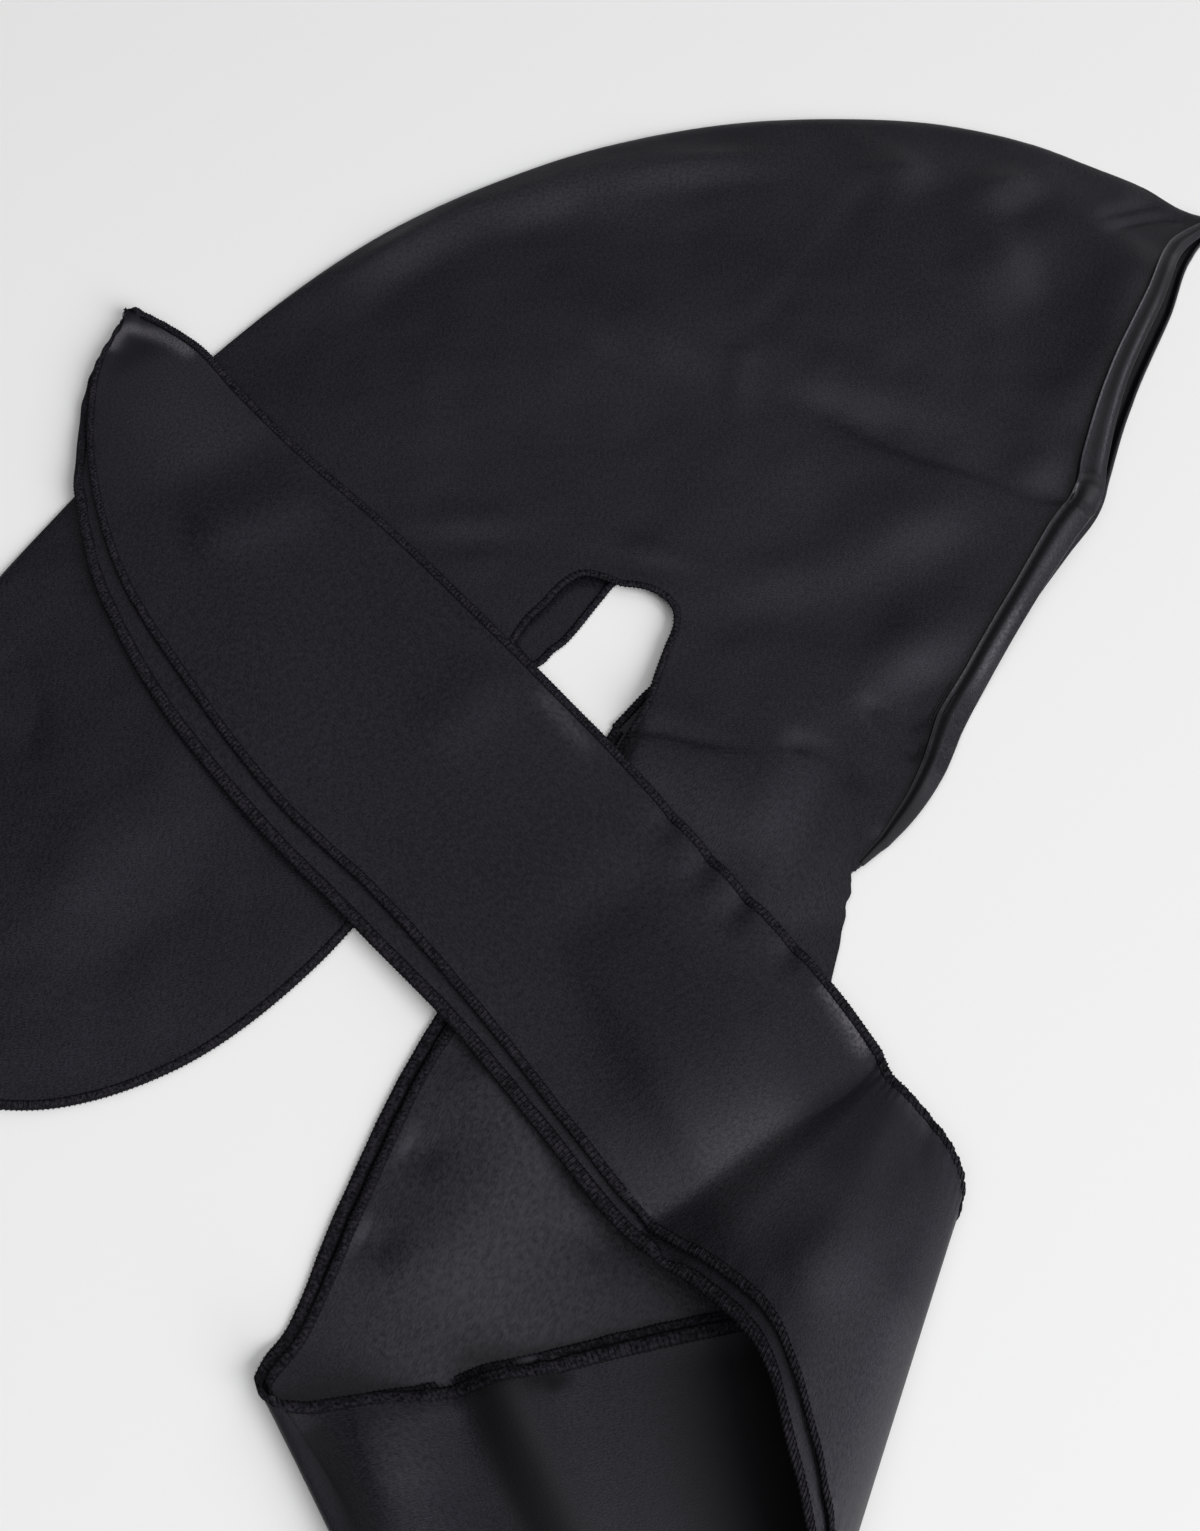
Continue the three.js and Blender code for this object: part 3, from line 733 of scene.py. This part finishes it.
# Rows across the tie from root to tip: edge a (x, y, z), edge b (x, y, z), slip of the lower tie, bow, rise.
TIE = [
    (0.009, 0.01, 0.0013, 0.077, -0.041, 0.0013, -0.006, 0.026, 0),
    (-0.012, -0.03, 0.0013, 0.071, -0.066, 0.0013, -0.006, 0.01, 0),
    (-0.034, -0.072, 0.0013, 0.059, -0.108, 0.0013, -0.006, 0, 0),
    (-0.052, -0.104, 0.0013, 0.051, -0.143, 0.0013, -0.005, 0, 0.001),
    (-0.068, -0.144, 0.0013, 0.041, -0.187, 0.0013, -0.005, 0, 0.001),
    (-0.08, -0.176, 0.0013, 0.004, -0.25, 0.0016, -0.004, 0, 0),
    (-0.088, -0.191, 0.005, -0.034, -0.281, 0.0085, -0.004, 0, 0),
    (-0.081, -0.198, 0.0092, -0.019, -0.276, 0.015, -0.004, 0, 0),
    (-0.052, -0.191, 0.006, -0.002, -0.269, 0.01, 0.002, 0, 0.002),
    (-0.024, -0.1845, 0.0052, 0.01, -0.268, 0.0045, 0.003, 0, 0),
    (0.006, -0.177, 0.0052, 0.024, -0.265, 0.0025, 0.003, 0, 0.002),
    (0.04, -0.17, 0.0048, 0.036, -0.262, 0.0022, 0.003, 0, 0.002),
    (0.075, -0.164, 0.0022, 0.046, -0.259, 0.002, 0.002, 0, 0),
    (0.092, -0.153, 0.0022, 0.052, -0.254, 0.006, 0.004, 0, 0),
    (0.1, -0.137, 0.006, 0.0555, -0.243, 0.016, 0.007, 0, 0),
    (0.097, -0.127, 0.0095, 0.055, -0.228, 0.025, 0.009, 0, 0),
    (0.092, -0.118, 0.01, 0.0515, -0.204, 0.028, 0.01, 0, 0),
    (0.087, -0.111, 0.0095, 0.0435, -0.178, 0.025, 0.0075, 0, 0.002),
    (0.083, -0.106, 0.0085, 0.03, -0.163, 0.018, 0.0068, 0, 0.002),
    (0.08, -0.0985, 0.0075, 0.012, -0.149, 0.01, 0.0062, 0, 0),
    (0.0655, -0.075, 0.007, -0.008, -0.124, 0.009, 0.0066, 0, 0.001),
    (0.0385, -0.041, 0.007, -0.031, -0.0935, 0.008, 0.0075, 0, 0.001),
    (0.002, 0.0055, 0.0065, -0.0665, -0.051, 0.007, 0.0105, 0, 0),
    (-0.033, 0.046, 0.0065, -0.099, -0.0185, 0.0065, 0.0095, 0, 0),
    (-0.069, 0.087, 0.0065, -0.133, 0.026, 0.0065, 0.011, 0, 0),
    (-0.105, 0.124, 0.0065, -0.16, 0.068, 0.0065, 0.009, 0, 0),
    (-0.127, 0.149, 0.0065, -0.175, 0.107, 0.0065, 0.007, 0, 0),
    (-0.142, 0.168, 0.006, -0.181, 0.137, 0.005, 0.004, 0, 0),
    (-0.157, 0.182, 0.004, -0.182, 0.164, 0.003, 0.002, 0, 0),
    (-0.172, 0.193, 0.0024, -0.175, 0.189, 0.0022, 0, 0, 0),
]
FIRST_RUN, SECOND_RUN, ROLL, THIRD_RUN = (0, 6), (7, 13), (14, 18), (16, 29)  # rows of the table

# Folds of the ties: the run's rows, then as for the half.
TIE_FOLDS = [
    # soft ridge across the tie before the crease behind the roll
    (THIRD_RUN, 0.0072, 0.050, 0.033, 0.42, 0.42,
     [(0.000, -0.134), (0.0164, -0.127), (0.0272, -0.1215), (0.0412, -0.1140), (0.0555, -0.1035),
      (0.071, -0.086)]),
    # swell of the roll towards its inner edge
    (THIRD_RUN, 0.0016, 0.010, 0.008, 0.15, 0.20,
     [(0.092, -0.134), (0.076, -0.150), (0.060, -0.161), (0.046, -0.168)]),
    # soft waves below the tip and over the cap
    (THIRD_RUN, 0.0018, 0.014, 0.010, 0.25, 0.30, [(-0.142, 0.082), (-0.117, 0.093), (-0.094, 0.105)]),
    (THIRD_RUN, 0.0012, 0.012, 0.010, 0.30, 0.30, [(-0.060, 0.000), (-0.040, 0.020), (-0.030, 0.036)]),
    (THIRD_RUN, -0.0014, 0.012, 0.012, 0.30, 0.30, [(-0.020, -0.070), (0.004, -0.052), (0.020, -0.034)]),
    # edges that curl up a little
    (THIRD_RUN, 0.0013, 0.005, 0.006, 0.20, 0.20,
     [(-0.132, 0.156), (-0.150, 0.174), (-0.170, 0.191), (-0.181, 0.170), (-0.187, 0.130)]),
    (THIRD_RUN, 0.0010, 0.005, 0.006, 0.30, 0.30, [(-0.012, 0.022), (-0.035, 0.048), (-0.064, 0.084)]),
    # puckers along the edge over the root
    (THIRD_RUN, -0.0014, 0.003, 0.004, 0.05, 0.60, [(0.024, -0.020), (0.014, -0.036)]),
    (THIRD_RUN, -0.0018, 0.003, 0.004, 0.05, 0.60, [(0.036, -0.034), (0.024, -0.051)]),
    (THIRD_RUN, -0.0018, 0.003, 0.005, 0.05, 0.60, [(0.047, -0.047), (0.034, -0.064)]),
    (THIRD_RUN, -0.0014, 0.003, 0.005, 0.05, 0.60, [(0.060, -0.064), (0.050, -0.076)]),
    # dimples along the outer edge of the first run, and the swell and the dip beside them
    (FIRST_RUN, -0.0016, 0.005, 0.005, 0.10, 0.60, [(-0.056, -0.125), (-0.042, -0.132)]),
    (FIRST_RUN, -0.0016, 0.005, 0.005, 0.10, 0.60, [(-0.067, -0.150), (-0.052, -0.157)]),
    (FIRST_RUN, 0.0020, 0.016, 0.014, 0.20, 0.20, [(-0.036, -0.092), (-0.026, -0.128), (-0.058, -0.170)]),
    (FIRST_RUN, -0.0018, 0.010, 0.010, 0.20, 0.20, [(-0.010, -0.120), (0.004, -0.142), (-0.006, -0.160)]),
    # the second run's cloth stands up around its narrow valley
    (SECOND_RUN, 0.0018, 0.022, 0.022, 0.15, 0.30,
     [(-0.036, -0.188), (-0.030, -0.205), (-0.022, -0.225), (-0.010, -0.258)]),
    # small puckers under the edge of the second run
    (SECOND_RUN, -0.0017, 0.0026, 0.0026, 0.05, 0.60, [(-0.0190, -0.185), (-0.0165, -0.193)]),
    (SECOND_RUN, -0.0017, 0.0026, 0.0026, 0.05, 0.60, [(-0.0125, -0.184), (-0.0100, -0.193)]),
    (SECOND_RUN, -0.0009, 0.0022, 0.0022, 0.05, 0.60, [(-0.0495, -0.189), (-0.0475, -0.196)]),
]
# Sharp creases of the ties, rows as for the folds.
TIE_CREASES = [
    # behind the roll
    (THIRD_RUN, -0.0026, 0.012, 0.045, 0.03, 0.05,
     [(0.010, -0.149), (0.0265, -0.1415), (0.0370, -0.1345), (0.0508, -0.1260), (0.0655, -0.1165),
      (0.081, -0.101)]),
]
# Waves of the ties, rows as for the half's after the run.
TIE_WAVES = [
    # flanks of the second run's cloth, at its valley and near its left fold
    (SECOND_RUN, -0.0245, -0.208, 0.036, 0.0085, 117, -0.0042),
    (SECOND_RUN, -0.0300, -0.194, 0.012, 0.0060, 117, -0.0014),
    (SECOND_RUN, -0.062, -0.214, 0.024, 0.0090, 118, -0.0034),
]
# Where the ties are painted paler, in pale strips along their overlocked edges and in broad painted sheens,
# or below nought
# painted dark as the shade deep in a fold: rows as for the folds, with a share instead of a height.
TIE_SHEEN_AND_SHADE = [
    (THIRD_RUN, 0.7, 0.0026, 0.0026, 0.10, 0.10,
     [(-0.1785, 0.1700), (-0.1770, 0.1775), (-0.1735, 0.1825), (-0.1645, 0.1800), (-0.1555, 0.1745),
      (-0.1445, 0.1650)]),
    (THIRD_RUN, 0.3, 0.0020, 0.0020, 0.20, 0.20, [(-0.1895, 0.1320), (-0.1935, 0.1180), (-0.1950, 0.1060)]),
    (THIRD_RUN, 0.90, 0.0036, 0.0036, 0.20, 0.15,
     [(0.0655, -0.0755), (0.0697, -0.0835), (0.0740, -0.0915), (0.0790, -0.1010)]),
    (THIRD_RUN, 0.15, 0.014, 0.0025, 0.05, 0.25,
     [(0.0095, -0.1487), (0.0260, -0.1410), (0.0365, -0.1340), (0.0503, -0.1255), (0.0650, -0.1160)]),
    (THIRD_RUN, 0.09, 0.020, 0.020, 0.30, 0.30, [(0.028, -0.153), (0.046, -0.144), (0.064, -0.131)]),
    (THIRD_RUN, 0.22, 0.0030, 0.0030, 0.30, 0.30, [(-0.0215, 0.0255), (-0.0130, 0.0145), (-0.0005, -0.0030)]),
    (THIRD_RUN, 0.20, 0.0030, 0.0030, 0.30, 0.30, [(0.0825, -0.1095), (0.0895, -0.1185), (0.0955, -0.1300)]),
    (THIRD_RUN, 0.10, 0.030, 0.030, 0.20, 0.20, [(-0.168, 0.172), (-0.150, 0.145), (-0.128, 0.110)]),
    (FIRST_RUN, 0.13, 0.040, 0.040, 0.20, 0.20,
     [(-0.010, -0.060), (-0.020, -0.110), (-0.030, -0.170), (-0.050, -0.210)]),
    (SECOND_RUN, -0.9, 0.016, 0.030, 0.20, 0.30,
     [(0.042, -0.170), (0.046, -0.195), (0.049, -0.225), (0.050, -0.255)]),
    (SECOND_RUN, -0.9, 0.013, 0.004, 0.04, 0.25,
     [(-0.032, -0.187), (-0.0275, -0.2025), (-0.0220, -0.215), (-0.013, -0.232), (-0.004, -0.250)]),
    (SECOND_RUN, -0.6, 0.007, 0.007, 0.10, 0.20,
     [(-0.076, -0.201), (-0.071, -0.211), (-0.065, -0.222), (-0.058, -0.236)]),
    (SECOND_RUN, -0.8, 0.003, 0.003, 0.10, 0.30, [(-0.0142, -0.186), (-0.0128, -0.190), (-0.0112, -0.194)]),
    (SECOND_RUN, 0.10, 0.013, 0.013, 0.20, 0.30, [(-0.054, -0.192), (-0.051, -0.207), (-0.047, -0.224)]),
    (FIRST_RUN, 0.07, 0.022, 0.022, 0.20, 0.30, [(0.050, -0.036), (0.062, -0.046), (0.066, -0.062)]),
    (ROLL, 0.12, 0.017, 0.017, 0.15, 0.20,
     [(0.055, -0.238), (0.058, -0.210), (0.068, -0.188), (0.082, -0.165)]),
]


def tie_grid(slip):
    """Middle surface of the ties: stations along, columns across, with the lower tie slipped aside."""
    table = np.array(TIE)
    stations = round(TIE_LENGTH / TIE_STEP)
    u = np.linspace(0, 1, stations + 1)
    edge_a, edge_b = curve(table[:, :3], u), curve(table[:, 3:6], u)
    columns = np.linspace(0, 1, round(TIE_WIDTH / TIE_STEP) + 1)
    columns = columns - EDGE_CROWDING * np.sin(2 * math.pi * columns) / (2 * math.pi)
    ruling = edge_b - edge_a
    long = np.linalg.norm(ruling, axis=1)
    place = u * (len(table) - 1)
    place = np.floor(place) + ease(place - np.floor(place))
    slips, bow, rise = (np.interp(place, np.arange(len(table)), table[:, k]) for k in (6, 7, 8))
    t = columns[None] + slip * (slips / long)[:, None]
    back = unit(np.column_stack([-ruling[:, 1], ruling[:, 0], np.zeros(len(u))]))
    grid = edge_a[:, None] + ruling[:, None] * t[..., None]
    grid += back[:, None] * (bow[:, None] * BOW_PEAK * t**2 * (1 - t))[..., None]
    grid[..., 2] += rise[:, None] * 4 * t * (1 - t)
    grid[..., 2] = np.maximum(grid[..., 2], (LAYER + CLOTH) / 2)
    return u, columns, grid


def grid_normals(grid):
    along, across = np.gradient(grid, axis=0), np.gradient(grid, axis=1)
    return unit(np.cross(along, across))


def on_run(row, run, spots, shape, fold):
    """The fold's height on the run's own rows; it dies out over one row to each side."""
    reach = ease(row - run[0] + 1) * ease(run[1] + 1 - row)
    held = reach > 0
    height = np.zeros(len(spots))
    height[held] = shape(spots[held], [fold]) * reach[held]
    return height


def tie_surface(side, slip, level):
    """The tie's own middle surface, with its folds and the slight ruffle of its overlocked edges.

    side is 1 for the upper tie and -1 for the lower one. Only the lower tie slips, and level is that of the
    half to which it is sewn.
    """
    u, columns, grid = tie_grid(slip)
    spots = grid[..., :2].reshape(-1, 2)
    row = np.repeat(u * (len(TIE) - 1), len(columns))
    lift = np.zeros(len(spots))
    for shape, rows in ((folded, TIE_FOLDS), (creased, TIE_CREASES), (waved, TIE_WAVES)):
        for run, *fold in rows:
            face_down = run == SECOND_RUN
            lift += on_run(row, run, spots, shape, fold) * (-1 if face_down else 1)
    long = u[:, None] * TIE_LENGTH
    to_edge = np.minimum(columns, 1 - columns)[None] * TIE_WIDTH
    drift = UNEVEN * np.sin(long / RUFFLE_DRIFT)
    ripple = np.sin(long / RUFFLE_WAVE + drift + APART * np.sign(columns[None] - 0.5))
    lift = lift.reshape(grid.shape[:2]) + RUFFLE * ripple * np.exp(-to_edge / RUFFLE_REACH)
    grid = grid + grid_normals(grid) * lift[..., None]
    grid = grid + grid_normals(grid) * side * LAYER / 2
    grid[..., 2] = np.maximum(grid[..., 2], CLOTH / 2 + FLOOR_GAP)
    root = np.flatnonzero(u * (len(TIE) - 1) < ROOT_REACH)
    joined = ease(2 - 2 * u[root] * (len(TIE) - 1) / ROOT_REACH)[:, None]
    seat = level(grid[root][..., :2].reshape(-1, 2)).reshape(len(root), -1) + JOIN_STEP
    grid[root, :, 2] += (seat - grid[root, :, 2]) * joined
    return u, columns, grid


def make_tie(name, node, side, slip, level):
    u, columns, grid = tie_surface(side, slip, level)
    wide = len(columns)
    faces = [
        ((r + 1) * wide + c, (r + 1) * wide + c + 1, r * wide + c + 1, r * wide + c)
        for r in range(len(u) - 1)
        for c in range(wide - 1)
    ]
    chart = np.stack(np.meshgrid(u * TIE_LENGTH, columns * TIE_WIDTH, indexing="ij"), -1).reshape(-1, 2)
    spots = grid[..., :2].reshape(-1, 2)
    row = np.repeat(u * (len(TIE) - 1), wide)
    # painted sheen and shade of the ties
    painted_sheen_and_shade = np.zeros(len(spots))
    for run, *painted_mark in TIE_SHEEN_AND_SHADE:
        painted_sheen_and_shade += on_run(row, run, spots, folded, painted_mark)
    tie = new_piece(name, grid.reshape(-1, 3) + DRAWN, faces, chart, satin_finish, painted_sheen_and_shade)
    give_thickness(tie, CLOTH)
    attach(tie, "root")
    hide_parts(node)
    return tie


lower_tie = make_tie("lower_tie_cloth", "lower_tie", side=-1, slip=1, level=lower_level)
upper_tie = make_tie("upper_tie_cloth", "upper_tie", side=1, slip=0, level=upper_level)

# ---- Overlocked edges ----------------------------------
# Tail, arch and ties have raw edges wrapped in overlock stitching: a flat bead of thread loops, a little
# thicker than the cloth.

BEAD_HIGH = 0.0005  # half height
THREAD = 0.00021  # radius
STITCH = 0.0015  # from one loop to the next
STITCH_POINTS = 8  # of the thread's path, to one stitch
BEAD_SIDES = 12
THREAD_SIDES = 4
OVERHANG = 0.0003  # of the bead beyond the cloth's edge
EDGE_STEP = 0.002
NEAR, FAR = 0.001, 0.003  # into the half: where its edge's level is read, and where its slope
TURNED = 0.085  # share of the tie's length, from the root, over which edge b is turned in and has no overlock


def thread_finish():
    """Matt thread, speckled between the loops, and darker along the bead's inner and outer edges: painted
    shade where the bead meets the cloth and rounds off, and along the inner edge also the dark line of the
    needle thread.
    """
    finish = Finish("thread")
    chart = finish.node("ShaderNodeUVMap", {"uv_map": "cloth"})
    across = finish.node("ShaderNodeSeparateXYZ", None, {0: chart}, "Y")
    place = finish.node("ShaderNodeTexCoord", output="Object")
    twist = finish.node("ShaderNodeTexNoise", None, {"Vector": place, "Scale": 1100.0, "Detail": 2.0})
    speckle = finish.node("ShaderNodeMapRange", None, {"Value": twist, "From Min": 0.38, "From Max": 0.66})
    # painted shade along the bead's inner and outer edges; at the inner edge it also stands for the needle
    # thread's dark line
    inner = finish.node(
        "ShaderNodeMapRange",
        None,
        {"Value": across, "From Min": 0.72, "From Max": 0.88, "To Min": 1.0, "To Max": 0.0},
    )
    outer = finish.node(
        "ShaderNodeMapRange",
        None,
        {"Value": across, "From Min": 0.04, "From Max": 0.22, "To Min": 0.1, "To Max": 1.0},
    )
    tone = finish.node(
        "ShaderNodeMix",
        {"data_type": "RGBA"},
        {0: speckle * inner * outer, 6: (0.0020, 0.0016, 0.0032, 1), 7: (0.0215, 0.0195, 0.0265, 1)},
        2,
    )
    shader = finish.node(
        "ShaderNodeBsdfPrincipled",
        None,
        {"Base Color": tone, "Roughness": 0.7 + 0.1 * twist, "Specular IOR Level": 0.12},
    )
    finish.node("ShaderNodeOutputMaterial", None, {"Surface": shader})
    return finish.material


overlock_finish = thread_finish()


def ringed(path, first, second, wide, high, sides):
    """Rings of an elliptical section along a path. first and second are the section's two ways."""
    turn = 2 * math.pi * np.arange(sides) / sides
    out = wide * np.cos(turn)[None, :, None] * first[:, None]
    up = high * np.sin(turn)[None, :, None] * second[:, None]
    return path[:, None] + out + up


def make_bead(name, edges, wide):
    """Overlock stitching, wide to each side, along edges: points, way into the cloth and normal."""
    points, faces, chart = [], [], []

    def add(rings, run, across):
        start = sum(len(p) for p in points)
        points.append(rings.reshape(-1, 3))
        chart.append(np.stack(np.broadcast_arrays(run[:, None], across), -1).reshape(-1, 2))
        faces.extend(tuple(start + k for k in face) for face in swept(rings))

    for path, way, normal in edges:
        centre = path + way * (wide - OVERHANG)
        # how far the bead reaches under its centre, loops and all
        deep = np.hypot((wide + 1.5 * THREAD) * way[:, 2], (BEAD_HIGH + 1.5 * THREAD) * normal[:, 2])
        centre[:, 2] = np.maximum(centre[:, 2], deep + FLOOR_GAP)
        marks = np.arange(0, len(path), STITCH_POINTS)
        sides = 0.5 + 0.5 * np.cos(2 * math.pi * np.arange(BEAD_SIDES) / BEAD_SIDES)
        bead = ringed(centre[marks], way[marks], normal[marks], wide, BEAD_HIGH, BEAD_SIDES)
        add(bead, marks * STITCH / STITCH_POINTS, sides[None])
        turn = 2 * math.pi * np.arange(len(path)) / STITCH_POINTS
        out = way * np.cos(turn)[:, None] * (wide + THREAD / 2)
        out = out + normal * np.sin(turn)[:, None] * (BEAD_HIGH + THREAD / 2)
        loop = centre + out
        out = unit(out)
        other = unit(np.cross(np.gradient(loop, axis=0), out))
        around = np.repeat(0.5 + 0.5 * np.cos(turn)[:, None], THREAD_SIDES, axis=1)
        thread = ringed(loop, out, other, THREAD, THREAD, THREAD_SIDES)
        add(thread, np.arange(len(path)) * STITCH / STITCH_POINTS, around)
    overlock = new_piece(name, np.vstack(points) + DRAWN, faces, np.vstack(chart), overlock_finish)
    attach(overlock, "root")
    return overlock


def stitched(line, way, normal):
    """An edge's points, its way into the cloth and its normal, with a stitch's points evenly along it."""
    both = evenly(np.hstack([line, way, normal]), STITCH / STITCH_POINTS, 3)
    return both[:, :3], unit(both[:, 3:6]), unit(both[:, 6:9])


def half_edge(points, level):
    line = smooth_line(points, EDGE_STEP)
    way = left_of(line)
    edge = np.column_stack([line, level(line + way * NEAR)])
    inner = unit(np.column_stack([line + way * FAR, level(line + way * FAR)]) - edge)
    along = unit(np.gradient(edge, axis=0))
    return stitched(edge, inner, np.cross(along, inner))


def tie_edge(side, slip, level):
    """Down edge a to the tip and back up edge b, as far as the turned edge near the root."""
    u, _, grid = tie_surface(side, slip, level)
    normals = grid_normals(grid)
    first = round(TURNED * len(u))
    line = np.vstack([grid[:, 0], grid[first:, -1][::-1]])
    inner = unit(np.vstack([grid[:, 2] - grid[:, 0], (grid[first:, -3] - grid[first:, -1])[::-1]]))
    return stitched(line, inner, np.vstack([normals[:, 0], normals[first:, -1][::-1]]))


upper_edges = [half_edge(TAIL_HEM, upper_level), half_edge(UPPER_ARCH, upper_level)]
lower_edges = [half_edge(TAIL_HEM, lower_level), half_edge(LOWER_ARCH, lower_level)]
upper_bead = make_bead("upper_half_overlock", upper_edges, wide=0.0013)
lower_bead = make_bead("lower_half_overlock", lower_edges, wide=0.0013)
upper_tie_bead = make_bead("upper_tie_overlock", [tie_edge(side=1, slip=0, level=upper_level)], wide=0.0016)
lower_tie_bead = make_bead("lower_tie_overlock", [tie_edge(side=-1, slip=1, level=lower_level)], wide=0.0022)

# ---- Cut sizes -----------------------------------------
# The flat area of a half, which is cut from a rectangle of 0.475 by 0.412 m and fills a bit over half of it.
# Each tie is cut from a straight strip with a curved tip.


def flat_area(outline):
    x, y = outline[:, 0], outline[:, 1]
    return abs(np.dot(x, np.roll(y, -1)) - np.dot(y, np.roll(x, -1))) / 2


HALF_AREA = flat_area(half_outline(UPPER_ARCH, 0))
